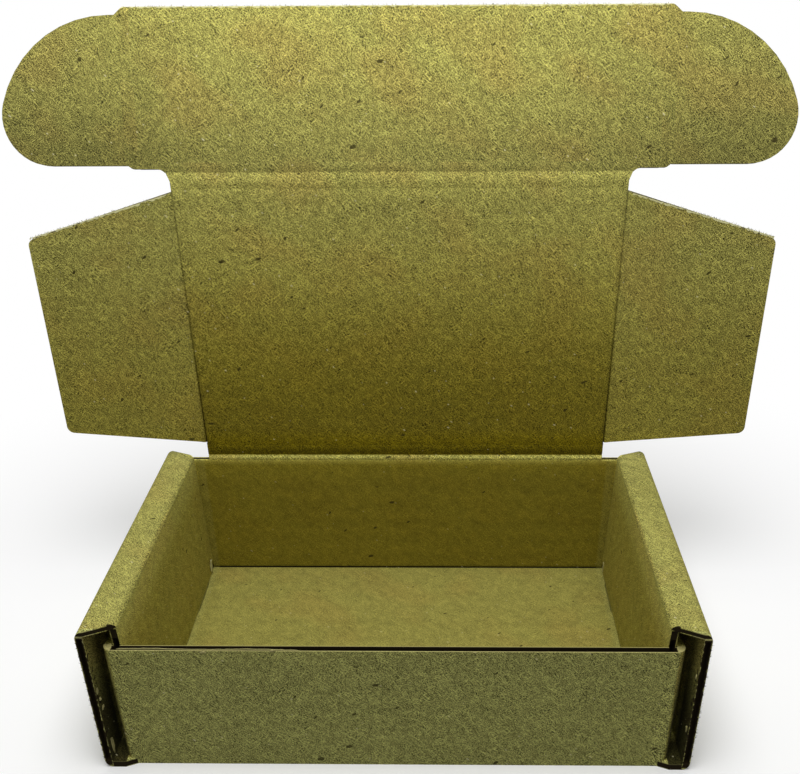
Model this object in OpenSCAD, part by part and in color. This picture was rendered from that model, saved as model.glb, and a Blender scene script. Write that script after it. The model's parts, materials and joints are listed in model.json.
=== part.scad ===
// Small corrugated mailer with a hinged lid, folded from one die-cut blank.
// Millimetres. Origin: centre of the tray's underside. +Z up, +Y to the hinge, -Y to the viewer.
// The lid stands open at 90 degrees, as a box does that was just opened.

/* [Board] */
// Thickness of the corrugated board
board_t = 1.4; // [1.2:0.05:1.5]
// Thickness of each flat liner
liner_t = 0.25; // [0.2:0.05:0.35]
// Thickness of the wavy middle sheet
medium_t = 0.2; // [0.15:0.05:0.3]
// Distance from one flute to the next
flute_pitch = 4.9; // [3.2:0.1:6.5]
// How far the open flutes are seen into from a cut edge
cell_depth = 1.1; // [0.6:0.1:1.4]

/* [Creases] */
// Depth of the fold line under the inside face of the board
crease_depth = 0.1; // [0.05:0.05:0.3]
// Width of the slit that parts two panels at a crease
crease_slit = 0.2; // [0.1:0.05:0.3]
// Outer radius of the tray's folds
fold_r = 1.6; // [1.5:0.1:2.4]

/* [Tray] */
// Width of the front wall, over its folded corners
front_w = 100; // [90:1:120]
// Height of the front wall's cut top edge
front_h = 27.2; // [24:0.2:28.4]
// Depth of the tray, from the front wall's face to the back wall's face
tray_d = 61.3; // [56:0.1:80]
// Height of the rolled side walls
side_h = 31.9; // [31.2:0.1:38]
// Width of the slot beside a corner tab, which takes an ear
slot_w = 2.25; // [2:0.05:3]
// How far the side walls stand out in front of the front wall
reach_front = 0.9; // [0.3:0.1:1]
// How far the side walls stand out behind the back wall
reach_back = 0.6; // [0.1:0.1:0.8]
// Length of the floor's lip under each corner, from the slot in
lip_l = 2.2; // [1:0.1:4]
// Thickness of the pressed strip over each side wall
strip_t = 1.05; // [1:0.05:1.4]
// Radius of the strip's inner edge
strip_r = 1; // [0.5:0.1:1.3]
// How far the inner walls lean in at the floor
foot_lean = 1; // [0:0.1:1.5]
// Chamfer of the inner walls' lower corners
foot_chamfer = 2.6; // [1:0.1:4]
// Gap between layers of board that lie on each other
layer_gap = 0.1; // [0.05:0.05:0.2]

/* [Corner tabs and locks] */
// Length of the tabs folded in from the front and back walls
tab_l = 27; // [18:1:28]
// Fall of each corner tab's top edge towards its end
tab_taper = 5; // [2:0.5:8]
// Length of each lock tab
lock_l = 10; // [6:0.5:14]
// Distance of the lock tabs from the middle of the side
lock_pitch = 17.5; // [12:0.5:20]
// Clearance round a lock tab in its slot
lock_gap = 0.15; // [0.1:0.05:0.3]

/* [Lid] */
// Gap between a folded dust flap and the inner wall beside it
dust_side_gap = 2.1; // [0.6:0.1:4]
// Height of the closed lid's underside over the side strips
lid_clear = 0.1; // [0.05:0.05:0.4]
// Gap between the closed tuck flap and the front wall
front_clear = 1.1; // [1.05:0.05:1.6]

/* [Dust flaps] */
// Length of a dust flap at its end near the tuck flap
dust_l_top = 29.8; // [24:0.1:30]
// Length of a dust flap at its end near the hinge
dust_l_low = 30.3; // [24:0.1:30.3]
// Distance from the hinge to the dust flap's root
dust_root_low = 3.1; // [2:0.1:5]
// Distance from the tuck crease to the dust flap's root
dust_root_top = 3.7; // [2:0.1:6]
// Rise of the edge near the hinge, from root to tip
dust_slant_low = 2.3; // [0:0.1:8]
// Fall of the edge near the tuck flap, from root to tip
dust_slant_top = 8.9; // [0:0.1:14]
// Corner radius of a dust flap
dust_r = 1.5; // [1.5:0.1:6]

/* [Tuck flap and ears] */
// Length of the tuck flap
tuck_h = 29; // [28:0.1:30]
// Lean of the open tuck flap behind the lid's plane, in degrees
tuck_lean = 17; // [0:1:30]
// Rise of the tuck flap's free lower edge over its crease
tuck_rise = 0.7; // [0.3:0.1:1.2]
// Radius between the lid's side and the tuck flap's lower edge
tuck_root_r = 2.3; // [1.5:0.1:3]
// Gap between a tucked ear and the corner tab beside it
ear_side_gap = 0.35; // [0.2:0.05:0.5]
// Gap between a tucked ear and the strip over it
ear_top_gap = 0.1; // [0.05:0.05:0.3]
// Length over which the ear's lower edge rises from the tuck flap's
ear_root_l = 0.9; // [0.6:0.1:0.9]
// Step from the tuck flap's top edge down to the ear
ear_step = 1.3; // [0.5:0.1:3]
// Length of the slanted shoulder between them
ear_shoulder_l = 1.5; // [0.8:0.1:2]
// Radius of the ear's long upper curve
ear_crown_r = 22; // [19:0.5:23]
// Distance of that curve's centre from the ear's crease
ear_crown_u = 2.6; // [2.2:0.1:4]
// Radius of the ear's tight lower curve
ear_nose_r = 8.5; // [6:0.5:9]

/* [Hidden] */

inside_colour = [0.50, 0.46, 0.24];
tray_colour = [0.45, 0.42, 0.23];

// Points per quarter turn of a rounded outline, and per flute of the wavy sheet
arc_steps = 10;
wave_steps = 10;
// Overlap of a cutter past the face it cuts, and of the wavy sheet into a liner
over = 0.5;
bite = 0.03;

// The board's faces, measured from a fold line that runs crease_depth under the inside face
inside_z = crease_depth;
outside_z = crease_depth - board_t;
core_h = board_t - 2 * liner_t;

front_y = -tray_d / 2;
back_y = tray_d / 2;
corner_x = front_w / 2;
slot_x = corner_x + slot_w;
outer_x = slot_x + board_t;
tab_x = corner_x - board_t;
inner_wall_x = tab_x - layer_gap - board_t;
inner_foot_x = inner_wall_x - foot_lean;
floor_top = board_t;
layer_z = floor_top + layer_gap;
inner_front_y = front_y + board_t + layer_gap;
strip_low = side_h - strip_t;
shoulder_z = strip_low - 2 * layer_gap;

hinge_y = back_y - board_t + crease_depth;
hinge_z = side_h + lid_clear + crease_depth;
// Folded down, a dust flap's outside face keeps dust_side_gap from the inner wall
lid_half = inner_wall_x - dust_side_gap + outside_z;
// The closed lid runs from its hinge to a fold line that hangs front_clear before the front wall
lid_l = hinge_y - front_y + front_clear + crease_depth;
root_half = lid_half + tuck_root_r - sqrt(pow(tuck_root_r, 2) - pow(tuck_root_r - tuck_rise, 2));
dust_top = lid_l - dust_root_top;

// Closed, an ear hangs in the slot beside the corner tab and under the strip
ear_x = corner_x + ear_side_gap + crease_depth;
ear_low = hinge_z - side_h + strip_t + ear_top_gap;
ear_top = tuck_h - ear_step;
// The nose circle touches the lower edge and lies inside the crown circle, touching it
ear_nose_v = ear_low + ear_nose_r;
ear_crown_v = ear_top - ear_crown_r;
ear_nose_u = ear_crown_u + sqrt(pow(ear_crown_r - ear_nose_r, 2) - pow(ear_nose_v - ear_crown_v, 2));
ear_touch = atan2(ear_nose_v - ear_crown_v, ear_nose_u - ear_crown_u);

// Points of an arc from one angle to another
function arc(centre, r, from, to) =
    let (steps = max(2, ceil(arc_steps * abs(to - from) / 90)))
    [for (i = [0 : steps]) let (a = from + (to - from) * i / steps) centre + r * [cos(a), sin(a)]];

// A path mirrored in the second axis, in reverse order so that it still turns the same way
function mirrored(path) = [for (i = [len(path) - 1 : -1 : 0]) [-path[i][0], path[i][1]]];

// Normal to the left of the line from a to b, which points into a path that turns left
function left_normal(a, b) = let (e = (b - a) / norm(b - a)) [-e[1], e[0]];

// Where a corner goes when its two edges move inwards by d1 and d2
function inset_corner(p, n1, d1, n2, d2) =
    let (turn = n1[0] * n2[1] - n1[1] * n2[0])
    abs(turn) < 0.001 ? p + n1 * max(d1, d2)
    : p + [d1 * n2[1] - d2 * n1[1], d2 * n1[0] - d1 * n2[0]] / turn;

// A crease is [axis, place]: the edges of a path that lie on one keep their place
function on_crease(a, b, creases) =
    len([for (c = creases) if (abs(a[c[0]] - c[1]) < 0.001 && abs(b[c[0]] - c[1]) < 0.001) c]) > 0;

// A path whose cut edges are moved inwards by the flutes' open depth
function inset_path(path, creases) =
    let (
        n = len(path),
        depths = [for (i = [0 : n - 1]) on_crease(path[i], path[(i + 1) % n], creases) ? 0 : cell_depth]
    )
    [for (i = [0 : n - 1])
        let (before = (i + n - 1) % n, after = (i + 1) % n)
        inset_corner(path[i], left_normal(path[before], path[i]), depths[before],
            left_normal(path[i], path[after]), depths[i])];

// Height of the wavy sheet's middle at a distance v across the flutes
function wave_z(v) =
    (inside_z + outside_z) / 2 + (core_h / 2 + bite - medium_t / 2) * sin(360 * v / flute_pitch);

// Extrudes a section of (y, z) from x0 to x1
module along_x(x0, x1) {
    translate([x0, 0, 0])
        rotate([90, 0, 90])
            linear_extrude(height = x1 - x0)
                children();
}

// Extrudes a section of (x, z) from y0 to y1
module along_y(y0, y1) {
    translate([0, y1, 0])
        rotate([90, 0, 0])
            linear_extrude(height = y1 - y0)
                children();
}

// Draws its children on both sides of the box
module both_sides() {
    children();
    mirror([1, 0, 0])
        children();
}

// The wavy middle sheet, with its flutes along X, from v0 to v1
module medium(v0, v1, reach) {
    steps = ceil((v1 - v0) / flute_pitch * wave_steps);
    line = [for (i = [0 : steps]) let (v = v0 + (v1 - v0) * i / steps) [v, wave_z(v)]];
    upper = [for (p = line) p + [0, medium_t / 2]];
    lower = [for (i = [len(line) - 1 : -1 : 0]) line[i] - [0, medium_t / 2]];
    along_x(-reach, reach)
        polygon(concat(upper, lower));
}

// Panel of board in its own plane: fold line on the X axis, inside face up, open flutes at its cut edges
module panel(path, creases, v0, v1, reach) {
    difference() {
        translate([0, 0, outside_z])
            linear_extrude(height = board_t)
                polygon(path);
        difference() {
            translate([0, 0, outside_z + liner_t])
                linear_extrude(height = core_h)
                    difference() {
                        polygon(path);
                        polygon(inset_path(path, creases));
                    }
            medium(v0, v1, reach);
        }
    }
}

// What a pressed crease takes from a panel that lies on the +Y side of a fold line on the X axis
module crease_cut(length) {
    tip = crease_slit / 2;
    rise = inside_z + over;
    fall = -outside_z + over;
    along_x(-length / 2, length / 2)
        polygon([
            [tip, 0],
            [tip + rise, rise],
            [-over, rise],
            [-over, -fall],
            [tip + fall, -fall]
        ]);
}

// Section of (x, z) over the floor and both rolled side walls
module side_section() {
    half = concat(
        arc([outer_x - fold_r, fold_r], fold_r, -90, 0),
        arc([outer_x - fold_r, side_h - fold_r], fold_r, 0, 90),
        arc([inner_wall_x + strip_r, side_h - strip_r], strip_r, 90, 180),
        [
            [inner_foot_x, layer_z],
            [inner_foot_x + board_t, layer_z],
            [inner_wall_x + board_t, strip_low],
            [slot_x, strip_low],
            [slot_x, floor_top]
        ]
    );
    polygon(concat(half, mirrored(half)));
}

// Section of (y, z) over the front wall, the floor and the back wall
module wall_section() {
    polygon(concat(
        arc([front_y + fold_r, fold_r], fold_r, -90, -180),
        [
            [front_y, front_h],
            [front_y + board_t, front_h],
            [front_y + board_t, floor_top],
            [back_y - board_t, floor_top],
            [back_y - board_t, hinge_z],
            [back_y, hinge_z]
        ],
        arc([back_y - fold_r, fold_r], fold_r, 0, -90)
    ));
}

// What is cut from the side walls' front end, drawn at y = 0
module side_end_cut(reach) {
    wall_end = board_t + layer_gap;
    both_sides() {
        // Slanted end of the strip
        translate([0, 0, strip_low])
            linear_extrude(height = strip_t + over)
                polygon([
                    [slot_x, -reach - over],
                    [slot_x, -reach],
                    [inner_wall_x, wall_end],
                    [inner_wall_x - over, wall_end],
                    [inner_wall_x - over, -reach - over]
                ]);
        // End of the inner wall, with its chamfered foot
        translate([inner_foot_x - over, -reach - over, floor_top])
            cube([slot_x - inner_foot_x + over, reach + over + wall_end, strip_low - floor_top]);
        along_x(inner_foot_x - over, inner_wall_x + board_t + over)
            polygon([
                [wall_end - over, floor_top],
                [wall_end + foot_chamfer, floor_top],
                [wall_end - over, floor_top + foot_chamfer + over]
            ]);
        // Floor in front of the end wall, down to its lip
        translate([0, 0, -over])
            linear_extrude(height = floor_top + over)
                polygon([
                    [-over, -reach - over],
                    [corner_x, -reach - over],
                    [corner_x, -reach],
                    [corner_x - lip_l, 0],
                    [-over, 0]
                ]);
    }
}

// Folded corner at one end of the front or back wall, with its tab, drawn for the wall at y = 0
module corner_tab(wall_top) {
    translate([corner_x - fold_r, 0, 0])
        linear_extrude(height = wall_top)
            polygon(concat(
                arc([0, fold_r], fold_r, -90, 0),
                [[fold_r - board_t, fold_r], [fold_r - board_t, board_t], [0, board_t]]
            ));
    along_x(tab_x, corner_x)
        polygon([
            [fold_r - bite, layer_z],
            [tab_l, layer_z + tab_taper / 2],
            [tab_l, wall_top - tab_taper],
            [fold_r - bite, wall_top]
        ]);
}

module tray() {
    color(tray_colour)
        difference() {
            union() {
                side_walls();
                end_walls();
                lock_tabs();
            }
            cut_grooves();
        }
}

module side_walls() {
    difference() {
        along_y(front_y - reach_front, back_y + reach_back)
            side_section();
        translate([0, front_y, 0])
            side_end_cut(reach_front);
        translate([0, back_y, 0])
            mirror([0, 1, 0])
                side_end_cut(reach_back);
        lock_slots();
    }
}

module end_walls() {
    difference() {
        along_x(-corner_x + fold_r, corner_x - fold_r)
            wall_section();
        lock_slots();
        both_sides()
            translate([lid_half, back_y - board_t - over, shoulder_z])
                cube([corner_x, board_t + 2 * over, hinge_z]);
        translate([0, hinge_y, hinge_z])
            mirror([0, 0, 1])
                rotate([90, 0, 0])
                    crease_cut(front_w);
    }
    both_sides() {
        translate([0, front_y, 0])
            corner_tab(front_h);
        translate([0, back_y, 0])
            mirror([0, 1, 0])
                corner_tab(shoulder_z);
    }
}

// Places its children at each of the four lock tabs, with the tab's middle on the side's length
module at_locks() {
    both_sides()
        for (y = [-lock_pitch, lock_pitch])
            translate([inner_foot_x, y, 0])
                children();
}

module lock_slots() {
    at_locks()
        translate([-lock_gap, -lock_l / 2 - lock_gap, -over])
            cube([board_t + 2 * lock_gap, lock_l + 2 * lock_gap, over + layer_z]);
}

module lock_tabs() {
    at_locks()
        translate([0, -lock_l / 2, layer_gap])
            cube([board_t, lock_l, layer_z]);
}

// Inside face of the leaning inner wall at a height z
function inner_x(z) = inner_wall_x - foot_lean * (strip_low - z) / (strip_low - layer_z);

// Grooves between the liners along the tray's cut edges
module cut_grooves() {
    inner_low = layer_z + foot_chamfer + over;
    inner_high = side_h - 2 * fold_r;
    // Front wall's top edge
    translate([-corner_x + fold_r, front_y + liner_t, front_h - cell_depth])
        cube([front_w - 2 * fold_r, core_h, cell_depth + over]);
    both_sides() {
        // Front and back ends of the outer walls
        for (end = [[front_y - reach_front, -1], [back_y + reach_back, 1]])
            translate([slot_x + liner_t, end[0] + (end[1] < 0 ? -over : -cell_depth), fold_r])
                cube([core_h, cell_depth + over, side_h - 2 * fold_r]);
        // Front edge of the inner wall
        along_y(inner_front_y - over, inner_front_y + cell_depth)
            polygon([
                [inner_x(inner_low) + liner_t, inner_low],
                [inner_x(inner_low) + liner_t + core_h, inner_low],
                [inner_x(inner_high) + liner_t + core_h, inner_high],
                [inner_x(inner_high) + liner_t, inner_high]
            ]);
    }
}

// Lid panel in its own plane
module lid_panel() {
    side = concat(
        [[lid_half, 0], [lid_half, lid_l + tuck_rise - tuck_root_r]],
        [for (p = arc([lid_half + tuck_root_r, lid_l + tuck_rise - tuck_root_r], tuck_root_r, 180, 90))
            if (p[1] < lid_l) p],
        [[root_half, lid_l]]
    );
    difference() {
        translate([0, 0, outside_z])
            linear_extrude(height = board_t)
                polygon(concat(side, mirrored(side)));
        crease_cut(front_w);
        translate([0, lid_l, 0])
            rotate([0, 0, 180])
                crease_cut(front_w);
        both_sides()
            translate([lid_half, (dust_root_low + dust_top) / 2, 0])
                rotate([0, 0, 90])
                    crease_cut(dust_top - dust_root_low + 2 * crease_slit);
    }
}

// Right dust flap in the lid's plane, with its crease on the Y axis
module dust_panel() {
    tip_low = dust_root_low + dust_slant_low;
    tip_top = dust_top - dust_slant_top;
    low_lean = atan2(dust_slant_low, dust_l_low);
    top_lean = atan2(dust_slant_top, dust_l_top);
    path = concat(
        [[0, dust_root_low]],
        arc([dust_l_low - dust_r, tip_low + dust_r], dust_r, -90 + low_lean, 0),
        arc([dust_l_top - dust_r, tip_top - dust_r], dust_r, 0, 90 - top_lean),
        [[0, dust_top]]
    );
    difference() {
        panel(path, [[0, 0]], 0, lid_l, front_w);
        translate([0, (dust_root_low + dust_top) / 2, 0])
            rotate([0, 0, -90])
                crease_cut(2 * lid_l);
    }
}

// Tuck flap in its own plane
module tuck_panel() {
    side = concat(
        [[root_half, 0]],
        [for (p = arc([lid_half + tuck_root_r, tuck_rise - tuck_root_r], tuck_root_r, 180, 90))
            if (p[1] > 0) p],
        [[ear_x, tuck_rise], [ear_x, tuck_h]]
    );
    difference() {
        panel(concat(side, mirrored(side)), [[1, 0], [0, ear_x], [0, -ear_x]], 0, tuck_h, front_w);
        crease_cut(2 * root_half);
        both_sides()
            translate([ear_x, tuck_h / 2, 0])
                rotate([0, 0, 90])
                    crease_cut(2 * tuck_h);
    }
}

// Right ear in the tuck flap's plane, with its crease on the Y axis
module ear_panel() {
    crown = arc([ear_crown_u, ear_crown_v], ear_crown_r, ear_touch, 90);
    path = concat(
        [[0, tuck_rise], [ear_root_l, ear_low]],
        arc([ear_nose_u, ear_nose_v], ear_nose_r, -90, ear_touch),
        [for (i = [1 : len(crown) - 1]) crown[i]],
        [[ear_shoulder_l, ear_top], [0, tuck_h]]
    );
    difference() {
        panel(path, [[0, 0]], 0, tuck_h, front_w);
        translate([0, tuck_h / 2, 0])
            rotate([0, 0, -90])
                crease_cut(2 * tuck_h);
    }
}

// Stands the lid's plane up on its hinge
module on_hinge() {
    translate([0, hinge_y, hinge_z])
        rotate([90, 0, 0])
            children();
}

// Leans the tuck flap's plane back from the lid's far crease
module on_tuck_crease() {
    on_hinge()
        translate([0, lid_l, 0])
            rotate([-tuck_lean, 0, 0])
                children();
}

module lid() {
    color(inside_colour)
        on_hinge()
            lid_panel();
}

module dust_flap_right() {
    color(inside_colour)
        on_hinge()
            translate([lid_half, 0, 0])
                dust_panel();
}

module dust_flap_left() {
    mirror([1, 0, 0])
        dust_flap_right();
}

module tuck_flap() {
    color(inside_colour)
        on_tuck_crease()
            tuck_panel();
}

module ear_right() {
    color(inside_colour)
        on_tuck_crease()
            translate([ear_x, 0, 0])
                ear_panel();
}

module ear_left() {
    mirror([1, 0, 0])
        ear_right();
}

tray();
lid();
dust_flap_left();
dust_flap_right();
tuck_flap();
ear_left();
ear_right();
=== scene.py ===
# Looks of the hinged mailer box: kraft liners with painted light and shade, crushed creases, raw cut edges,
# camera and light.
import json
import math
import random

import bpy
from mathutils import Matrix, Vector


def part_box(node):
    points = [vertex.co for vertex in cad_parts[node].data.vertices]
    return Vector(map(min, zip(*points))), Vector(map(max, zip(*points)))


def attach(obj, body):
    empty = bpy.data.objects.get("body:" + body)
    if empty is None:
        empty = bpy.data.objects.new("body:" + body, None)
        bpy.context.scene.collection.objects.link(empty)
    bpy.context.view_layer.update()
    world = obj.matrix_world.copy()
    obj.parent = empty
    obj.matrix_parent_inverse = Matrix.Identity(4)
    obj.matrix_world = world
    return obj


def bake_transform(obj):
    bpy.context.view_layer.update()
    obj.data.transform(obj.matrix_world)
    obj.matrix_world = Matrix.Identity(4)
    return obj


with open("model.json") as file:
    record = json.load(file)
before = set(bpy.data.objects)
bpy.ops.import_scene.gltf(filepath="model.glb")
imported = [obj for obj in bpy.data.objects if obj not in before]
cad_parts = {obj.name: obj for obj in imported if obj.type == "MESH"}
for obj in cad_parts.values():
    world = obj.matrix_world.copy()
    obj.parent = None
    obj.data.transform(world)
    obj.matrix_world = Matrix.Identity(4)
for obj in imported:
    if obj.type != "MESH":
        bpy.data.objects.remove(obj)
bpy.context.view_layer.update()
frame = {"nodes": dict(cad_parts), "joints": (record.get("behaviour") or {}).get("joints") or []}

MM = 0.001
SEED = 11

# The photograph's frame, and the lens that was fitted to the box's corners in it, in pixels
FRAME_W = 800
FRAME_H = 774
FOCAL_PX = 949.4
CENTRE_PX = (429.3, 476.8)
SENSOR_MM = 36.0
CAMERA_AT = Vector((8.56, -154.57, 135.16)) * MM
CAMERA_YAW = math.radians(0.98)
CAMERA_PITCH = math.radians(30.61)
CAMERA_ROLL = math.radians(-0.43)

# The board, as the frame has it
BOARD = 1.4 * MM
LINER = 0.25 * MM
CREASE_DEPTH = 0.1 * MM
# As much of a liner as shows pale at a cut edge, and the paper laid over a fold
LINER_SEEN = 0.6 * LINER
FOLD_PAPER = 0.16 * MM
FOLD_STEPS = 26
FLUTE = 4.9 * MM

# How far apart the tray's panels lie in the liner's pattern, in millimetres
PANEL_SHIFT = 160


def joint_point(name):
    """A point on a joint's axis at rest, in metres."""
    return Vector(next(j for j in frame["joints"] if j["name"] == name)["pos_m"])


def joint_axis(name):
    """A joint's axis at rest."""
    return Vector(next(j for j in frame["joints"] if j["name"] == name)["axis"]).normalized()


HINGE = joint_point("lid_hinge")
TUCK_FOLD = joint_point("tuck_flap_fold")
LID_HALF = joint_point("dust_flap_right_fold").x
EAR_X = joint_point("ear_right_fold").x
TUCK_UP = joint_axis("ear_left_fold")
TUCK_FACE = Vector((1, 0, 0)).cross(TUCK_UP)
TRAY_LOW, TRAY_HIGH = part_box("tray")

# The tray's own places
FRONT_Y = -30.65 * MM
FRONT_TOP = 27.2 * MM
CORNER_X = 50.0 * MM
END_Y = TRAY_LOW.y
SIDE_TOP = 31.9 * MM
STRIP_LOW = 30.85 * MM
SLOT_X = 52.25 * MM
SLOT_DEEP = 24.0 * MM
TAB_X = 48.6 * MM
INNER_X = 47.1 * MM
FOOT_LEAN = 1.0 * MM

# The lid's and the tuck flap's places
LID_FACE_Y = 29.25 * MM
TUCK_H = 29.0 * MM
TUCK_TOP_HALF = 50.3 * MM
LID_LOW_Z = HINGE.z + 3.1 * MM
LID_HIGH_Z = TUCK_FOLD.z - 3.7 * MM

# The sky's strength, then softboxes: place, what they look at, diameter in metres and watts
AMBIENT = 0.27
OVERHEAD = ((0.0, -0.05, 0.35), (0.0, 0.0, 0.03), 0.25, 0.88)
LOW_LAMP = ((0.0, -0.07, 0.23), (0.0, 0.03, 0.06), 0.12, 0.075)
BACK_FILL = ((0.0, 0.5, 0.30), (0.0, 0.0, 0.06), 0.40, 0.8)

# The floor: half its width and where it fades for the camera, in metres, then its colours
FLOOR_REACH = 3.0
FLOOR_FADE = (0.045, 0.17)
FLOOR_BOUNCE = (0.30, 0.30, 0.30, 1)
FLOOR_SEEN = (0.95, 0.95, 0.95, 1)


def srgb(red, green, blue):
    """A colour given as 0 to 255 on screen, as a linear RGBA tuple."""
    def linear(value):
        share = value / 255
        return share / 12.92 if share <= 0.04045 else ((share + 0.055) / 1.055) ** 2.4
    return (linear(red), linear(green), linear(blue), 1.0)


class Graph:
    """A material's node tree, with short calls for the nodes that the kraft board needs."""

    def __init__(self, name, bends=False):
        """bends is for pieces that change shape with a fold: their places at rest come from their own map."""
        self.material = bpy.data.materials.new(name)
        self.material.use_nodes = True
        self.tree = self.material.node_tree
        self.tree.nodes.clear()
        coordinates = self.node("ShaderNodeTexCoord")
        # Millimetres at rest, so a pattern stays on its piece when the piece moves
        self.place = self.vector("SCALE", coordinates.outputs["Object"], scale=1 / MM)
        self.normal = coordinates.outputs["Normal"]
        self.x, self.y, self.z = self.split(self.place)
        if bends:
            mapped = self.vector("SCALE", coordinates.outputs["UV"], scale=1 / MM)
            self.x, self.z, _ = self.split(mapped)
        self.nx, self.ny, self.nz = self.split(self.normal)
        self.flat = None

    def node(self, kind, **settings):
        made = self.tree.nodes.new(kind)
        for key, value in settings.items():
            setattr(made, key, value)
        return made

    def feed(self, socket, value):
        if isinstance(value, bpy.types.NodeSocket):
            self.tree.links.new(value, socket)
        else:
            socket.default_value = value

    def math(self, operation, a, b=0.0, c=0.0):
        made = self.node("ShaderNodeMath", operation=operation)
        for socket, value in zip(made.inputs, (a, b, c)):
            self.feed(socket, value)
        return made.outputs[0]

    def add(self, a, b, times=1.0):
        """a + b * times"""
        return self.math("MULTIPLY_ADD", b, times, a)

    def size(self, value):
        return self.math("ABSOLUTE", value)

    def vector(self, operation, a, b=(0, 0, 0), scale=1.0):
        made = self.node("ShaderNodeVectorMath", operation=operation)
        self.feed(made.inputs[0], a)
        if operation == "SCALE":
            self.feed(made.inputs["Scale"], scale)
        else:
            self.feed(made.inputs[1], b)
        return made.outputs["Value" if operation == "DOT_PRODUCT" else "Vector"]

    def split(self, vector):
        made = self.node("ShaderNodeSeparateXYZ")
        self.feed(made.inputs[0], vector)
        return made.outputs[0], made.outputs[1], made.outputs[2]

    def step(self, value, low, high):
        """0 at low, 1 at high, smooth between. low may be the greater one, which turns it round."""
        made = self.node("ShaderNodeMapRange", interpolation_type="SMOOTHSTEP")
        self.feed(made.inputs["Value"], value)
        made.inputs["From Min"].default_value = low
        made.inputs["From Max"].default_value = high
        return made.outputs["Result"]

    def band(self, value, low, high, soft=0.03):
        """1 between low and high, 0 outside."""
        return self.both(self.step(value, low - soft, low + soft), self.step(value, high + soft, high - soft))

    def near(self, value, line, reach):
        """1 on a line, falling smoothly to 0 at reach."""
        return self.step(self.size(self.math("SUBTRACT", value, line)), reach, 0.0)

    def either(self, *masks):
        total = masks[0]
        for mask in masks[1:]:
            total = self.math("MAXIMUM", total, mask)
        return total

    def both(self, *masks):
        total = masks[0]
        for mask in masks[1:]:
            total = self.math("MULTIPLY", total, mask)
        return total

    def join(self, across, up):
        made = self.node("ShaderNodeCombineXYZ")
        self.feed(made.inputs[0], across)
        self.feed(made.inputs[1], up)
        return made.outputs[0]

    def lay_flat(self, across, up):
        """Sets the two coordinates, in millimetres in the board's own plane, that the patterns use."""
        self.flat = self.join(across, up)
        # A slow drift bends the fibres a little
        drift = self.math("SUBTRACT", self.noise(4.0, shift=71), 0.5)
        self.flat = self.join(self.add(across, drift, 1.6), self.add(up, drift, -1.1))

    def stretched(self, length, width, turn, place):
        """The board's plane in units of this length and width, turned and moved."""
        made = self.node("ShaderNodeMapping", vector_type="TEXTURE")
        self.feed(made.inputs["Vector"], self.flat)
        made.inputs["Location"].default_value = (*place, 0)
        made.inputs["Rotation"].default_value = (0, 0, math.radians(turn))
        made.inputs["Scale"].default_value = (length, width, 1)
        return made.outputs[0]

    def noise(self, length, width=None, turn=0.0, shift=0.0, detail=0.0):
        """Noise in the board's plane, with marks of about this length and width in millimetres."""
        made = self.node("ShaderNodeTexNoise", noise_dimensions="2D")
        plane = self.stretched(length, width or length, turn, (shift, shift * 0.7))
        self.feed(made.inputs["Vector"], plane)
        made.inputs["Scale"].default_value = 1.0
        made.inputs["Detail"].default_value = detail
        return made.outputs[0]

    def dots(self, length, width, turn, shift, share, radius):
        """Sparse marks: one in a cell of this size, in a share of the cells."""
        cells = self.node("ShaderNodeTexVoronoi", voronoi_dimensions="2D")
        self.feed(cells.inputs["Vector"], self.stretched(length, width, turn, (shift, -shift)))
        cells.inputs["Scale"].default_value = 1.0
        chosen, size, _ = self.split(cells.outputs["Color"])
        inside = self.math("LESS_THAN", cells.outputs["Distance"], self.math("MULTIPLY", size, radius))
        return self.both(self.math("LESS_THAN", chosen, share), inside)

    def mix(self, factor, a, b):
        made = self.node("ShaderNodeMix", data_type="RGBA")
        # The mix node has one set of sockets for each data type, and the last set is the colours'
        self.feed(made.inputs[0], factor)
        self.feed(made.inputs[6], a)
        self.feed(made.inputs[7], b)
        return made.outputs[2]

    def finish(self, colour, height):
        """Closes the material: height is in millimetres."""
        bump = self.node("ShaderNodeBump")
        self.feed(bump.inputs["Height"], height)
        bump.inputs["Distance"].default_value = MM
        shader = self.node("ShaderNodeBsdfPrincipled")
        self.feed(shader.inputs["Base Color"], colour)
        self.feed(shader.inputs["Normal"], bump.outputs[0])
        shader.inputs["Roughness"].default_value = 0.85
        shader.inputs["Specular IOR Level"].default_value = 0.10
        output = self.node("ShaderNodeOutputMaterial")
        self.feed(output.inputs["Surface"], shader.outputs[0])
        return self.material


# Liner colours: the olive inside, the greyer outside, a brown that is painted shade of the hollows inside the
# box, the torn cut edge, and a near-black core that is painted shade of the open flutes
INSIDE = srgb(153, 149, 80)
INSIDE_BROWN = srgb(155, 145, 78)
OUTSIDE = srgb(150, 149, 85)
# Painted shade: the brown cast that shaded hollows inside the box take on
SHADE_BROWN = srgb(158, 141, 22)
CUT_LINER = srgb(176, 168, 112)
PALE = srgb(226, 222, 164)
# Painted shade: the open flutes between the liners lie in shadow, so the core is painted near-black
CORE_SHADE = srgb(32, 25, 9)
DARK_FIBRE = srgb(52, 46, 20)
LIGHT_FIBRE = srgb(226, 218, 172)


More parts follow.
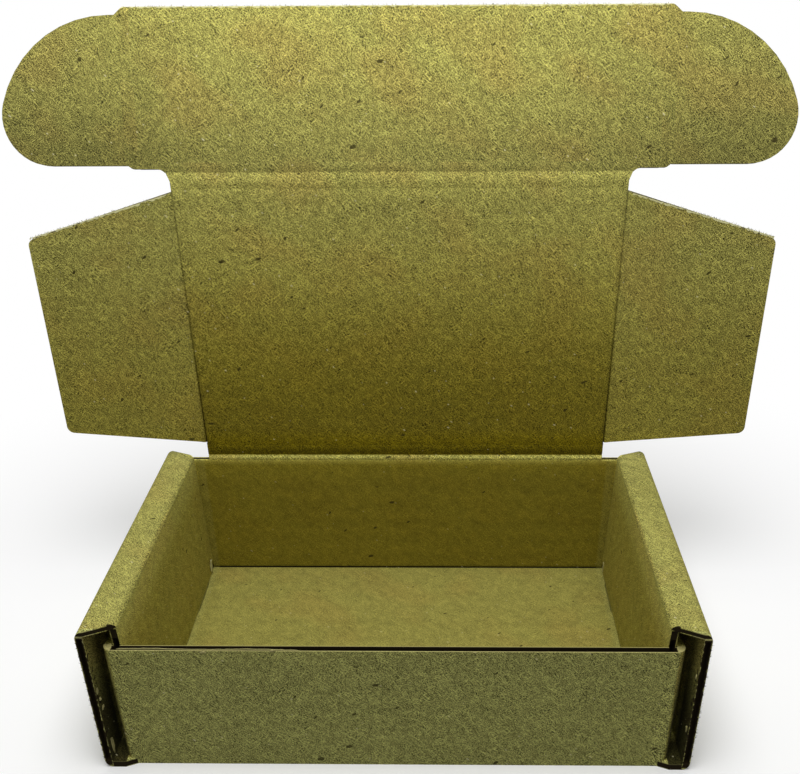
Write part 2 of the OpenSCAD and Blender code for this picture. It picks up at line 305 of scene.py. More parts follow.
def kraft(g, across_flutes, outside, core=None, cut=None, calm=0.0, tone=None, shade_brown=0.0):
    """Closes a graph as kraft board. across_flutes is the distance across the flutes. The masks are the
    outside liner, the core between the liners, their cut edges, and where the pattern is quiet. tone is
    painted light and shade by the board's place, and the last argument is how brown the board is painted for
    the shade there."""
    inside = g.math("SUBTRACT", 1.0, outside)
    blotch = g.noise(24, 17, turn=12, detail=2)
    cloud = g.noise(2.6, 1.9, turn=-30, shift=7, detail=1)
    grain = g.noise(0.25, 0.18, turn=-50, shift=3)
    flute = g.math("SINE", g.math("MULTIPLY", across_flutes, 2 * math.pi / (FLUTE / MM)))

    # Hair-thin fibres lie in cells that are stretched along them
    light = g.either(
        g.dots(3.0, 0.27, turn=-55, shift=0, share=0.9, radius=0.29),
        g.dots(2.6, 0.27, turn=-28, shift=31, share=0.9, radius=0.29),
        g.dots(2.6, 0.29, turn=42, shift=57, share=0.7, radius=0.29),
    )
    dark = g.dots(2.0, 0.30, turn=-68, shift=83, share=0.8, radius=0.29)

    # The pattern is quieter inside the tray, and rougher on the outside liner
    strength = g.both(g.add(1.0, outside, 0.35), g.add(1.0, calm, -0.60))
    pattern = g.math("MULTIPLY", g.math("SUBTRACT", grain, 0.5), 2.2)
    pattern = g.add(pattern, light, 0.78)
    pattern = g.add(pattern, dark, -0.45)
    shade = g.add(0.93, g.both(pattern, strength))
    shade = g.add(shade, g.both(g.math("SUBTRACT", cloud, 0.5), g.math("MULTIPLY_ADD", calm, 0.10, 0.30)))
    shade = g.add(shade, g.math("SUBTRACT", blotch, 0.5), 0.20)
    shade = g.add(shade, flute, 0.020)
    # Painted light and shade by place, on the inside liner only
    if tone is not None:
        shade = g.both(shade, g.add(1.0, g.both(inside, g.math("SUBTRACT", tone, 1.0))))

    colour = g.mix(g.step(g.noise(15, 11, turn=-20, shift=19, detail=1), 0.42, 0.72), INSIDE, INSIDE_BROWN)
    # Painted shade: browner where the board lies in shade
    colour = g.mix(shade_brown, colour, SHADE_BROWN)
    colour = g.mix(outside, colour, OUTSIDE)
    colour = g.vector("SCALE", colour, scale=shade)
    specks = g.dots(6.5, 3.2, turn=35, shift=5, share=0.20, radius=0.09)
    colour = g.mix(g.math("MULTIPLY", specks, 0.85), colour, DARK_FIBRE)
    pale = g.dots(3.4, 2.2, turn=-40, shift=11, share=0.25, radius=0.075)
    colour = g.mix(g.both(pale, strength, 0.55), colour, LIGHT_FIBRE)
    if cut is not None:
        colour = g.mix(g.math("MULTIPLY", cut, 0.7), colour, CUT_LINER)
    # Painted shade: the core between the liners is painted near-black for the shadow in its open flutes
    if core is not None:
        colour = g.mix(core, colour, CORE_SHADE)

    height = g.math("MULTIPLY", grain, 0.06)
    height = g.add(height, flute, 0.016)
    height = g.add(height, cloud, 0.05)
    return g.finish(colour, height)


def opened_painted_light(g):
    """Painted light and shade on the inside of the lid and the tuck flap, by its place at rest: 1 is plain.
    The lid is painted darker towards the hinge and lighter under the tuck fold, with dark lines along its
    folds;
    the tuck flap is painted lighter towards its top and its middle; the back wall is painted darker low down,
    with a painted highlight along the hinge fold.
    """
    x = g.size(g.x)
    tuck_z, hinge_z, half = TUCK_FOLD.z / MM, HINGE.z / MM, LID_HALF / MM
    over_tuck = g.step(g.z, tuck_z - 0.1, tuck_z + 0.3)
    between = g.band(g.z, hinge_z + 2.6, tuck_z - 3.2, soft=0.3)
    panel = g.math("MULTIPLY_ADD", g.step(x, half + 0.5, half - 0.2), 0.65, 0.35)
    at_back = g.step(g.z, hinge_z + 0.1, hinge_z - 0.1)

    # The lid: painted shade towards the hinge, a painted light band under the tuck fold, dark lines along the
    # folds
    lid = g.add(1.0, g.both(panel, g.step(g.z, tuck_z - 10, hinge_z + 6)), -0.45)
    lid = g.add(lid, g.both(panel, g.step(g.z, tuck_z - 32, tuck_z - 2)), 0.12)
    lid = g.add(lid, g.step(g.z, tuck_z - 6.5, tuck_z - 1.5), 0.25)
    lid = g.add(lid, g.step(g.z, hinge_z + 5, hinge_z), -0.24)
    lid = g.add(lid, g.both(g.near(x, half, 0.30), between), -0.40)
    lid = g.add(lid, g.both(g.near(x, half, 1.1), between), -0.10)
    lid = g.add(lid, g.near(g.z, tuck_z, 0.7), -0.10)

    # The tuck flap: painted light towards its top and its middle, a dark line along the ear folds
    tuck = g.add(0.62, g.step(g.z, tuck_z - 9, tuck_z + 26), 0.49)
    tuck = g.add(tuck, g.step(g.z, tuck_z + 24, tuck_z + 28), 0.14)
    tuck = g.add(tuck, g.step(x, 25, 60), -0.17)
    tuck = g.add(tuck, g.both(g.near(x, EAR_X / MM, 0.5), over_tuck), -0.07)

    # The back wall: painted shade low down and a painted highlight along the hinge fold
    back = g.add(0.68, g.step(g.z, hinge_z - 7, hinge_z - 1), 0.16)
    back = g.add(back, g.near(g.z, hinge_z - 0.4, 2.4), 1.0)

    tone = g.add(lid, g.both(over_tuck, g.math("SUBTRACT", tuck, lid)))
    return g.add(tone, g.both(at_back, g.math("SUBTRACT", back, tone)))


def opened_shade_brown(g):
    """Painted shade: how brown the inside is painted for the shade it lies in, most at the hinge, least on
    the tuck flap.
    """
    x = g.size(g.x)
    tuck_z, hinge_z, half = TUCK_FOLD.z / MM, HINGE.z / MM, LID_HALF / MM
    panel = g.math("MULTIPLY_ADD", g.step(x, half + 0.5, half - 0.2), 0.5, 0.5)
    root = g.step(g.z, hinge_z + 8, hinge_z + 1)
    lid = g.both(panel, g.add(g.step(g.z, tuck_z + 1, hinge_z + 7), root, 0.42), 0.71)
    lid = g.both(lid, g.step(g.z, hinge_z - 0.2, hinge_z + 0.2))
    return g.add(0.06, lid)


def lid_plane():
    """Board in the lid's plane: the lid and the dust flaps."""
    g = Graph("kraft_lid")
    g.lay_flat(g.x, g.z)
    depth = g.math("SUBTRACT", g.y, (HINGE.y - CREASE_DEPTH) / MM)
    board, liner = BOARD / MM, LINER_SEEN / MM
    return kraft(
        g,
        across_flutes=g.z,
        outside=g.step(depth, board * 0.6, board * 0.9),
        core=g.band(depth, liner, board - liner),
        cut=g.step(g.size(g.ny), 0.6, 0.4),
        tone=opened_painted_light(g),
        shade_brown=opened_shade_brown(g),
    )


def tuck_plane():
    """Board in the tuck flap's plane: the tuck flap and its ears."""
    g = Graph("kraft_tuck")
    from_fold = g.vector("SUBTRACT", g.place, tuple(TUCK_FOLD / MM))
    along = g.vector("DOT_PRODUCT", from_fold, tuple(TUCK_UP))
    depth = g.math("SUBTRACT", CREASE_DEPTH / MM, g.vector("DOT_PRODUCT", from_fold, tuple(TUCK_FACE)))
    g.lay_flat(g.x, along)
    board, liner = BOARD / MM, LINER_SEEN / MM
    return kraft(
        g,
        across_flutes=along,
        outside=g.step(depth, board * 0.6, board * 0.9),
        core=g.band(depth, liner, board - liner),
        cut=g.step(g.size(g.vector("DOT_PRODUCT", g.normal, tuple(TUCK_FACE))), 0.6, 0.4),
        tone=opened_painted_light(g),
        shade_brown=opened_shade_brown(g),
    )


def fold_paper(name, outside):
    """Liner over a fold, which lies in two planes, so it has no core or cut edges. On the outside it is
    stretched smooth where the board bends. Inside, it takes the same painted light and shade as the lid and
    the tuck flap."""
    g = Graph(name, bends=True)
    g.lay_flat(g.x, g.z)
    return kraft(
        g,
        across_flutes=g.z,
        outside=outside,
        calm=outside,
        tone=opened_painted_light(g),
        shade_brown=opened_shade_brown(g),
    )


def tray_board():
    """The tray's board. Its panels face three ways, so its masks go by place and by normal. Inside the tray,
    light and shade are painted into its colour.
    """
    g = Graph("kraft_tray")
    x = g.size(g.x)
    y = g.size(g.y)
    along_y, along_z = (g.step(g.size(n), 0.6, 0.75) for n in (g.ny, g.nz))
    # A panel that faces X lies in Y and Z, one that faces Y in X and Z, and the floor in X and Y, each in its
    # own part of the pattern
    faces_x = g.math("GREATER_THAN", g.size(g.nx), 0.7)
    faces_z = g.math("GREATER_THAN", g.size(g.nz), 0.7)
    across = g.add(g.x, g.both(faces_x, g.math("SUBTRACT", g.add(g.y, PANEL_SHIFT), g.x)))
    up = g.add(g.z, g.both(faces_z, g.math("SUBTRACT", g.add(g.y, PANEL_SHIFT), g.z)))
    g.lay_flat(across, up)
    flutes = g.add(g.y, g.both(along_y, g.math("SUBTRACT", g.z, g.y)))

    board, liner = BOARD / MM, LINER_SEEN / MM
    front, back, ends = FRONT_Y / MM, -FRONT_Y / MM, -END_Y / MM
    outer, slot, tab, corner = TRAY_HIGH.x / MM, SLOT_X / MM, TAB_X / MM, CORNER_X / MM
    inner_x, strip, top = INNER_X / MM, STRIP_LOW / MM, SIDE_TOP / MM
    hinge, low_top = HINGE.z / MM, FRONT_TOP / MM
    back_face = back - board
    lean = g.math("MULTIPLY", g.math("SUBTRACT", strip, g.z), FOOT_LEAN / STRIP_LOW)
    inner = g.math("SUBTRACT", g.add(x, lean), inner_x)

    outside = g.either(
        g.step(x, outer - 0.3, outer - 0.1),
        g.step(y, back - 0.15, back - 0.05),
        g.step(g.z, 0.12, 0.05),
    )
    on_side = g.step(x, inner_x - 2.6, inner_x - 1.9)
    strip_face = g.either(g.step(inner, 0.15, 0.05), g.step(g.z, top - 0.4, top - 0.1))
    outside = g.either(outside, g.both(strip_face, on_side, 0.25))

    in_wall = g.both(g.step(g.z, 0.3, 0.6), g.step(g.z, strip - 0.1, strip - 0.3))
    between_sides = g.step(x, corner - board, corner - board - 0.2)
    # The outer walls' ends are frayed, so the near-black painted shade between their liners wanders
    frayed = g.add(x, g.math("SUBTRACT", g.noise(1.3, 0.9, shift=37, detail=2), 0.5), 0.6)
    outer_ends = g.both(
        g.band(frayed, slot + 0.05, outer - 0.08),
        g.step(y, ends - 1.35, ends - 1.2),
        in_wall,
    )
    inner_ends = g.both(
        g.band(inner, liner, board - liner),
        g.band(y, back - 2.85, back - 0.3, soft=0.1),
        in_wall,
    )
    front_edge = g.both(
        g.band(g.y, front + 0.16, front + board - 0.1),
        between_sides,
        g.step(g.z, low_top - 1.2, low_top - 1.1),
    )
    back_shoulders = g.both(
        g.band(g.y, back_face + 0.45, back - 0.3),
        between_sides,
        g.step(g.z, low_top + 1.2, low_top + 1.4),
        g.step(g.z, hinge - 0.3, hinge - 0.5),
    )
    strip_ends = g.both(
        g.band(g.z, strip + liner, top - liner),
        along_y,
        g.step(x, inner_x - 1.1, inner_x - 0.7),
    )
    lip_edge = g.both(
        g.band(g.z, liner, board - liner),
        g.step(y, back + 0.02, back + 0.08),
        g.step(x, slot, slot - 0.1),
    )
    # These masks get the core's near-black painted shade
    core = g.either(outer_ends, inner_ends, front_edge, back_shoulders, strip_ends, lip_edge)
    cut = g.either(
        g.both(
            along_y,
            g.step(y, back + 0.02, back + 0.1),
            g.add(1.0, g.step(g.z, strip - 0.5, strip - 3.0), -0.65),
        ),
        g.both(along_z, g.near(g.z, low_top, 0.1), g.step(g.y, front + 2.65, front + 1.65)),
    )

    # Inside the tray: the back wall, the inner walls and the floor. Light and shade are painted here: the
    # back wall darker low down, with a painted highlight along the hinge fold and a painted shadow at its
    # foot, the inner walls lighter towards the top, the floor darker, with a painted shadow along the back
    # wall's foot, and the side strips a little darker
    within = g.both(
        g.step(inner, 0.2, -0.1),
        g.step(y, back - 1.05, back_face - 0.05),
        g.step(g.z, strip, strip - 0.6),
    )
    wall = g.both(
        g.step(inner, 0.5, 0.3),
        g.step(inner, -0.3, -0.1),
        g.step(g.z, board + 0.2, board + 0.6),
        g.step(y, back - 0.25, back - 0.45),
        g.step(g.z, strip + 0.7, strip - 0.7),
    )
    floor = g.both(g.step(g.z, board + 0.3, board + 0.1), within)
    at_back = g.both(
        g.step(g.y, back_face - 0.35, back_face - 0.15),
        g.step(g.z, hinge + 0.1, hinge - 0.1),
        g.step(x, tab - 0.1, tab - 0.6),
    )
    # Painted light and shade by place
    back_painted_light = g.add(0.68, g.step(g.z, hinge - 7, hinge - 1), 0.16)
    back_painted_light = g.add(back_painted_light, g.near(g.z, hinge - 0.4, 2.4), 1.0)
    back_painted_light = g.add(back_painted_light, g.near(g.z, board, 0.9), -0.30)
    wall_painted_light = g.add(1.03, g.step(g.z, strip - 9, strip + 0.2), 0.55)
    tone = g.add(1.0, g.both(at_back, g.math("SUBTRACT", back_painted_light, 1.0)))
    tone = g.add(tone, g.both(wall, g.math("SUBTRACT", wall_painted_light, 1.0)))
    tone = g.add(tone, floor, -0.15)
    tone = g.add(tone, g.both(floor, g.near(g.y, back_face, 0.7)), -0.30)
    tone = g.add(tone, g.both(g.step(g.z, strip + 0.3, strip + 0.8), on_side), -0.10)

    # Little light reaches the slot beside each corner, so it is painted darker as painted shadow, most low
    # down; what faces the slot is the inside liner
    turned = g.both(g.step(x, tab - 0.4, tab), g.step(g.size(g.nx), 0.25, 0.8))
    in_slot = g.both(
        g.either(turned, g.step(x, corner - 0.4, corner - 0.2)),
        g.step(x, slot + 0.05, slot),
        g.step(y, SLOT_DEEP / MM, SLOT_DEEP / MM + 2.5),
        g.step(g.z, strip + 0.1, strip - 0.1),
    )
    slot_painted_shade = g.add(0.10, g.step(g.z, 10, 31), 0.65)
    tone = g.both(tone, g.add(1.0, g.both(in_slot, g.math("SUBTRACT", slot_painted_shade, 1.0))))
    outside = g.both(outside, g.add(1.0, in_slot, -1.0))
    # Painted shade: browner low on the back wall and the inner walls, a little browner on the floor
    shade_brown = g.either(
        g.both(at_back, g.add(0.75, g.near(g.z, hinge, 3.2), -0.68)),
        g.both(wall, g.add(0.62, g.step(g.z, strip - 9, strip), -0.42)),
        g.both(floor, 0.18),
        0.08,
    )
    calm = g.either(within, g.both(wall, 0.6), g.both(strip_face, 0.45))
    return kraft(g, flutes, outside, core, cut, calm, tone, shade_brown)


def dress(node, material):
    """Gives a CAD node its finish."""
    piece = frame["nodes"][node]
    piece.data.materials.clear()
    piece.data.materials.append(material)


def mesh_piece(name, points, faces, material, body=None, smooth=True):
    """A new piece from points in metres. It rides on a body when one is given."""
    mesh = bpy.data.meshes.new(name)
    mesh.from_pydata([tuple(p) for p in points], [], faces)
    mesh.validate()
    for polygon in mesh.polygons:
        polygon.use_smooth = smooth
    mesh.materials.append(material)
    # The map keeps each point's place at rest, in X and Z
    rest = mesh.uv_layers.new(name="rest")
    for loop in mesh.loops:
        place = mesh.vertices[loop.vertex_index].co
        rest.data[loop.index].uv = (place.x, place.z)
    piece = bpy.data.objects.new(name, mesh)
    bpy.context.scene.collection.objects.link(piece)
    if body:
        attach(piece, body)
    return piece


def slab(rows, thickness):
    """Points and faces of a sheet: rows is a grid of (point, normal), and the back lies thickness behind."""
    across, along = len(rows), len(rows[0])
    points = [p for row in rows for p, _ in row] + [p - n * thickness for row in rows for p, n in row]
    back = across * along
    faces = []
    for i in range(across - 1):
        for j in range(along - 1):
            a, b = i * along + j, (i + 1) * along + j
            faces.append((a, b, b + 1, a + 1))
            faces.append((back + a + 1, back + b + 1, back + b, back + a))
    rim = list(range(along))
    rim += [i * along + along - 1 for i in range(1, across)]
    rim += [(across - 1) * along + j for j in range(along - 2, -1, -1)]
    rim += [i * along for i in range(across - 2, 0, -1)]
    # The rim has its own corners, so that the faces' smooth shading stops there
    first = len(points)
    for a in rim:
        points += [points[a], points[back + a]]
    for k in range(len(rim)):
        a, b = first + 2 * k, first + 2 * ((k + 1) % len(rim))
        faces.append((a, b, b + 1, a + 1))
    return points, faces


class Fold:
    """One fold line between two bodies. away is the way each board leaves it, and looks is the way each
    inside face looks."""

    def __init__(self, name, bodies, at, along, reach, away, looks):
        self.name, self.bodies, self.at, self.along, self.reach = name, bodies, at, along, reach
        self.away, self.looks = away, looks
        self.length = (reach(0)[1] - reach(0)[0]) * MM

    def cover(self, side, widths, bend, profile, material, wave=0.0):
        """A strip of liner over the fold. side is 1 inside and -1 outside, and widths are in millimetres.
        bend is not used. profile gives the strip's height over the board's face at a distance from the fold,
        which is below 0 on the first body."""
        face = CREASE_DEPTH if side > 0 else BOARD - CREASE_DEPTH
        places = [-widths[0] + (widths[0] + widths[1]) * i / FOLD_STEPS for i in range(FOLD_STEPS + 1)]
        count = max(8, round(self.length / (2.5 * MM)))
        rng = random.Random(SEED + len(self.name) + side)
        drift = [rng.uniform(-1, 1) for _ in range(count + 1)]
        rows = []
        for s in places:
            share = 0.5 + 0.5 * max(-1.0, min(1.0, s / 0.3))
            look = (self.looks[0] * (1 - share) + self.looks[1] * share).normalized()
            away = self.away[0] * -s if s < 0 else self.away[1] * s
            first, last = self.reach(s)
            row = []
            for j in range(count + 1):
                along = (first + (last - first) * j / count) * MM
                height = profile(s + wave * drift[j]) * (1 + 0.25 * drift[(j * 7) % (count + 1)])
                height -= 0.07 * bump_at(min(s + widths[0], widths[1] - s), 0, 0.8)
                out = look * side
                point = self.at + self.along * along + away * MM + out * (face + height * MM)
                row.append((point, out))
            rows.append(row)
        if (self.away[1].cross(self.along)).dot(self.looks[1]) * side > 0:
            rows = [list(reversed(row)) for row in rows]
        points, faces = slab(rows, FOLD_PAPER)
        name = f"{self.name}_{'inside' if side > 0 else 'outside'}"
        piece = mesh_piece(name, points, faces, material)
        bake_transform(piece)
        return piece


def bump_at(place, middle, reach):
    """A smooth hump of height 1."""
    share = (place - middle) / reach
    return math.cos(share * math.pi / 2) ** 2 if abs(share) < 1 else 0.0


def cover_folds(inside, outside):
    """The liners run on over every fold that is a joint."""
    up, right, front = Vector((0, 0, 1)), Vector((1, 0, 0)), Vector((0, -1, 0))
    half = LID_HALF / MM

    def hinge_ends(s):
        return -half + 0.05, half - 0.05

    def tuck_ends(s):
        wide = half - 0.05 + 0.6 * max(0.0, min(1.0, 1 + s / 1.6))
        return -wide, wide

    def dust_ends(s):
        out = max(0.0, s)
        return LID_LOW_Z / MM + 0.02 + 0.076 * out, LID_HIGH_Z / MM - 0.02 - 0.299 * out

    def ear_ends(s):
        out = max(0.0, s)
        return 0.75 + 0.65 * min(1.0, out / 0.9), 28.95 - 1.3 * min(1.0, out / 1.5)

    folds = [
        Fold("fold_hinge", ("tray", "lid"), HINGE, right, hinge_ends, (-up, up), (front, front)),
        Fold("fold_tuck", ("lid", "tuck_flap"), TUCK_FOLD, right, tuck_ends, (-up, TUCK_UP),
            (front, TUCK_FACE)),
    ]
    for side, word in ((-1, "left"), (1, "right")):
        out = right * side
        dust = Vector((side * LID_HALF, HINGE.y, 0))
        folds.append(Fold(f"fold_dust_{word}", ("lid", f"dust_flap_{word}"), dust, up, dust_ends,
            (-out, out), (front, front)))
        ear = TUCK_FOLD + out * EAR_X
        folds.append(Fold(f"fold_ear_{word}", ("tuck_flap", f"ear_{word}"), ear, TUCK_UP, ear_ends,
            (-out, out), (TUCK_FACE, TUCK_FACE)))

    def outer(s):
        return 0.03 + 0.05 * bump_at(s, 0, 1.6)

    def hinge(s):
        if s < 0:
            return 0.02 + 0.09 * bump_at(s, -0.8, 0.75)
        return 0.02 + 0.07 * bump_at(s, 1.4, 1.3)

    def tuck(s):
        if s < 0:
            return 0.02 + 0.09 * bump_at(s, -1.6, 1.5) - 0.04 * bump_at(s, 0, 0.5)
        return 0.02 + 0.06 * bump_at(s, 1.15, 1.0) - 0.04 * bump_at(s, 0, 0.5)

    def dust(s):
        return 0.02 + 0.07 * bump_at(abs(s), 0.75, 0.6) - 0.13 * bump_at(s, 0, 0.4)

    def ear(s):
        return 0.02 + 0.05 * bump_at(abs(s), 0.8, 0.7) - 0.05 * bump_at(s, 0, 0.5)

    shapes = {
        "fold_hinge": (hinge, (1.7, 2.9)),
        "fold_tuck": (tuck, (3.5, 2.3)),
        "fold_dust": (dust, (1.5, 1.5)),
        "fold_ear": (ear, (1.6, 1.6)),
    }
    for fold in folds:
        kind = "_".join(fold.name.split("_")[:2])
        profile, widths = shapes[kind]
        fold.cover(1, widths, 0.4, profile, inside, wave=0.12 if kind == "fold_dust" else 0.0)
        fold.cover(-1, (2.0, 2.0), 1.35, outer, outside)


def scrap(name, at, axes, size, material, seed, curl):
    """A torn scrap of liner on the tray, lifted a little off the board, with a ragged outline. axes are
    across, up and out, and at and size are in millimetres."""
    across, up, out = axes
    rng = random.Random(seed)
    wide, tall = size
    spokes, rings = 14, 3
    rim = [rng.uniform(0.5, 1.15) for _ in range(spokes)]
    points = []
    for ring in range(rings + 1):
        for k in range(spokes):
            angle = 2 * math.pi * k / spokes
            reach = ring / rings * (rim[k] if ring == rings else 1)
            u, v = math.cos(angle) * reach * wide / 2, math.sin(angle) * reach * tall / 2
            uneven = (0.3 + 0.7 * rng.random()) * (0.5 + 0.5 * math.sin(angle + seed))
            lift = 0.04 + curl * reach ** 2 * uneven
            points.append((Vector(at) + across * u + up * v + out * lift) * MM)
    faces = []
    for ring in range(rings):
        for k in range(spokes):
            a, b = ring * spokes + k, ring * spokes + (k + 1) % spokes
            faces.append((a, b, b + spokes, a + spokes))
    piece = mesh_piece(name, points, faces, material, "tray")
    thick = piece.modifiers.new("paper", "SOLIDIFY")
    thick.thickness = 0.12 * MM


def fuzz(name, body, path, look, density, length, material, seed):
    """Fibres that stand out of a cut edge: path is a list of points, density is fibres in a millimetre, and
    length is in millimetres."""
    rng = random.Random(seed)
    points, faces = [], []
    for a, b in zip(path, path[1:]):
        span = (b - a).length / MM
        side = (b - a).normalized()
        away = side.cross(look).normalized()
        for _ in range(round(span * density)):
            root = a + (b - a) * rng.random() + look * rng.uniform(-0.2, 0.05) * MM - away * 0.05 * MM
            turn = rng.gauss(0, 0.9)
            course = away * math.cos(turn) + side * math.sin(turn) + look * rng.uniform(-0.3, 0.35)
            course.normalize()
            reach = length * rng.uniform(0.3, 1.0) ** 1.5 * MM
            half = course.cross(look).normalized() * rng.uniform(0.02, 0.045) * MM
            first = len(points)
            middle = root + course * reach * 0.55 + side * rng.uniform(-0.06, 0.06) * MM
            points += [root - half, root + half, middle + half * 0.8, middle - half * 0.8]
            points.append(root + course * reach)
            faces += [(first, first + 1, first + 2, first + 3), (first + 3, first + 2, first + 4)]
    mesh_piece(name, points, faces, material, body, smooth=False)


def torn_lip(name, body, path, inwards, look, widths, material, seed):
    """A ragged light line where the liner tore along a cut edge: widths in millimetres, least and most."""
    rng = random.Random(seed)
    points, faces = [], []
    for a, b in zip(path, path[1:]):
        course = (b - a).normalized()
        into = inwards(course)
        count = max(2, round((b - a).length / (0.45 * MM)))
        first = len(points)
        for i in range(count + 1):
            at = a + (b - a) * i / count + look * 0.03 * MM
            wide = rng.uniform(*widths) if rng.random() < 0.8 else 0.03
            points += [at - into * 0.04 * MM, at + into * wide * MM + course * rng.uniform(-0.1, 0.1) * MM]
        for i in range(count):
            k = first + 2 * i
            faces.append((k, k + 2, k + 3, k + 1))
    mesh_piece(name, points, faces, material, body, smooth=False)


def fibre_paint(name, colour, variation):
    """Paper fibre or torn paper: one tint with fine streaks."""
    g = Graph(name)
    g.lay_flat(g.add(g.x, g.y), g.z)
    grain = g.noise(0.5, 0.25, turn=30, detail=1)
    tone = g.add(1.0, g.math("SUBTRACT", grain, 0.5), variation)
    return g.finish(g.vector("SCALE", colour[:3], scale=tone), g.math("MULTIPLY", grain, 0.05))


def ragged_edges(light, dark, pale):
    """Fuzz and torn liner along the die-cut edges."""
    front = Vector((0, -1, 0))

    def on_lid(x, z):
        return Vector((x * MM, LID_FACE_Y, z * MM))

    def into_flap(course):
        """Sideways from the edge, down into the flap."""
        sideways = course.cross(front)
        return -sideways if sideways.z > 0 else sideways

    face = TUCK_FOLD + TUCK_UP * TUCK_H + TUCK_FACE * CREASE_DEPTH
    top = [face + Vector((x, 0, 0)) for x in (-TUCK_TOP_HALF, -0.025, 0, 0.025, TUCK_TOP_HALF)]
    fuzz("fuzz_tuck_light", "tuck_flap", top[::-1], TUCK_FACE, 4.5, 0.55, light, 3)
    torn_lip("torn_tuck", "tuck_flap", top, lambda course: -TUCK_UP, TUCK_FACE, (0.05, 0.30), pale, 71)
    fuzz("fuzz_tuck_dark", "tuck_flap", top[::-1], TUCK_FACE, 2.0, 0.45, dark, 4)
    slant = [(43.8, 89.6), (58.6, 85.15), (73.0, 80.85)]
    for side, word in ((-1, "left"), (1, "right")):
        flap = f"dust_flap_{word}"
        edge = [on_lid(side * x, z) for x, z in slant[::-side]]
        fuzz(f"fuzz_dust_{word}_light", flap, edge, front, 5, 0.5, light, 11 + side)
        fuzz(f"fuzz_dust_{word}_dark", flap, edge, front, 3, 0.45, dark, 21 + side)
        wall_end = [Vector((side * TRAY_HIGH.x, END_Y, z * MM)) for z in (1.5, 11.0, 20.0, 29.5)]
        fuzz(f"fuzz_end_{word}_dark", "tray", wall_end[::side], front, 5, 0.55, dark, 81 + side)
        rim = [on_lid(side * x, z - 0.05) for x, z in slant[::side]]
        torn_lip(f"torn_dust_{word}", flap, rim, into_flap, front, (0.15, 0.45), pale, 61 + side)


def torn_marks(paper, pale):
    """Chips and torn scraps where the photograph shows them."""
    right, up, front = Vector((1, 0, 0)), Vector((0, 0, 1)), Vector((0, -1, 0))
    chips = [
        ((-32.5, -30.62, 27.0), (1.5, 0.5)),
        ((-20.6, -30.55, 27.3), (1.3, 0.45)),
        ((14.0, -30.6, 27.1), (0.7, 0.25)),
        ((36.5, -30.6, 27.05), (0.6, 0.3)),
    ]
    for count, (at, size) in enumerate(chips):
        scrap(f"front_chip_{count + 1}", at, (right, up, front), size, paper, 31 + count, curl=0.15)

    flecks = [
        (-1, (-30.9, 18.2), (1.1, 1.3)),
        (-1, (-30.6, 15.9), (0.8, 0.8)),
        (-1, (-30.2, 13.6), (1.3, 0.9)),
        (-1, (-29.9, 4.2), (1.3, 4.6)),
        (1, (-30.8, 22.0), (0.8, 1.2)),
        (1, (-30.6, 9.5), (0.9, 1.5)),
    ]
    for count, (side, (y, z), size) in enumerate(flecks):
        at = (side * (SLOT_X / MM - 0.02), y, z)
        scrap(f"slot_fleck_{count + 1}", at, (front, up, -right * side), size, paper, 41 + count, curl=0.05)

    tears = [
        (-1, "left", (26.3, 3.6), (1.9, 4.6), pale),
        (1, "right", (26.9, 3.0), (1.0, 3.4), paper),
    ]
    for side, word, (y, z), size, colour in tears:
        at = (side * (INNER_X / MM - 0.98), y, z)
        scrap(f"foot_tear_{word}", at, (-front, up, -right * side), size, colour, 51 + side, curl=0.2)


def open_front_edge(paper):
    """The wavy sheet's edge, seen in the groove at the left of the front wall's top."""
    rng = random.Random(SEED)
    first, last, count = -47.6, -8.0, 60
    upper = []
    for i in range(count + 1):
        x = (first + (last - first) * i / count) * MM
        y = FRONT_Y + (0.66 + 0.12 * math.sin(i * 0.21) + 0.04 * rng.uniform(-1, 1)) * MM
        z = FRONT_TOP - (0.10 + 0.08 * rng.random() + 0.5 * (i / count) ** 4) * MM
        upper.append(Vector((x, y, z)))
    face = Vector((0, -1, 0))
    rows = [[(p, face) for p in upper], [(p - Vector((0, 0, 0.9 * MM)), face) for p in upper]]
    points, faces = slab(rows, 0.10 * MM)
    mesh_piece("front_edge_medium", points, faces, paper, "tray")


def look_from_the_photo():
    """The camera that was fitted to the photograph."""
    data = bpy.data.cameras.new("camera")
    data.sensor_fit = "HORIZONTAL"
    data.sensor_width = SENSOR_MM
    data.lens = FOCAL_PX * SENSOR_MM / FRAME_W
    data.shift_x = (FRAME_W / 2 - CENTRE_PX[0]) / FRAME_W
    data.shift_y = (CENTRE_PX[1] - FRAME_H / 2) / FRAME_W
    data.clip_start = 0.01
    camera = bpy.data.objects.new("camera", data)
    turn = (
        Matrix.Rotation(CAMERA_YAW, 4, "Z")
        @ Matrix.Rotation(math.pi / 2 - CAMERA_PITCH, 4, "X")
        @ Matrix.Rotation(CAMERA_ROLL, 4, "Z")
    )
    camera.matrix_world = Matrix.Translation(CAMERA_AT) @ turn
    bpy.context.scene.collection.objects.link(camera)
    bpy.context.scene.camera = camera


